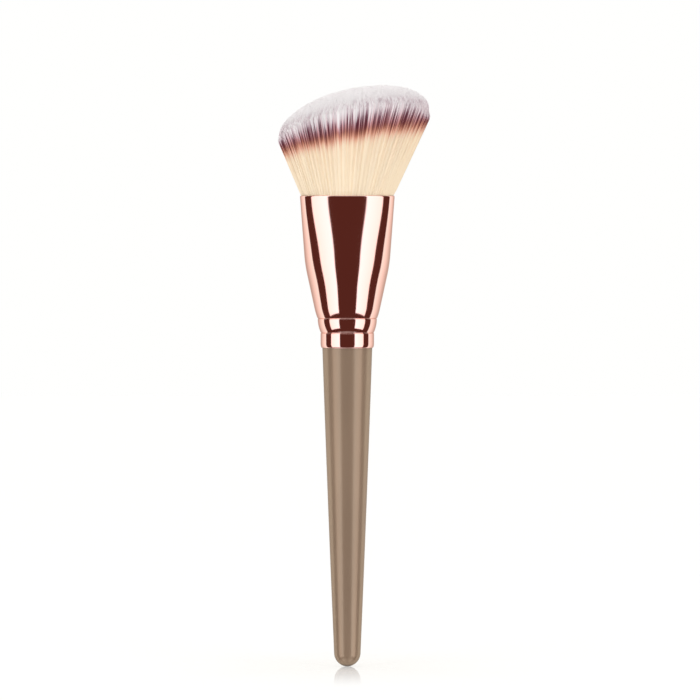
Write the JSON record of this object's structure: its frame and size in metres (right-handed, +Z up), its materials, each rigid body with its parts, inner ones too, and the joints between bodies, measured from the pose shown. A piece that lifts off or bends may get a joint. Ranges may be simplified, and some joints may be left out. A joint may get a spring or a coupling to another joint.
{
  "type": "contour brush",
  "caption": "Slanted dome-headed contour brush: a fanned tuft of dyed hair in a pressed metal ferrule on a tapered, turned handle.",
  "frame": {"origin": "the lowest point of the handle's round end, on the handle's axis", "axes": "+Z up the brush's axis from the round end to the hair, +X across the wide side towards the long corner of the head, +Y through the thickness"},
  "size_m": [0.0456, 0.026, 0.1751],
  "materials": {
    "lacquered_handle": "taupe gloss lacquer",
    "rose_gold_ferrule": "rose-gold mirror anodised",
    "dyed_hair": "soft straight fibre, cream with a brown band and white tips",
    "root_resin": "set resin",
    "waxed_thread": "waxed twisted thread",
    "set_glue": "set glue"
  },
  "bodies": {
    "root": {"handle": "lacquered_handle", "ferrule": "rose_gold_ferrule", "hair_tuft": "dyed_hair", "root_plug": "root_resin", "binding_thread": "waxed_thread", "adhesive_bed": "set_glue"}
  },
  "joints": []
}
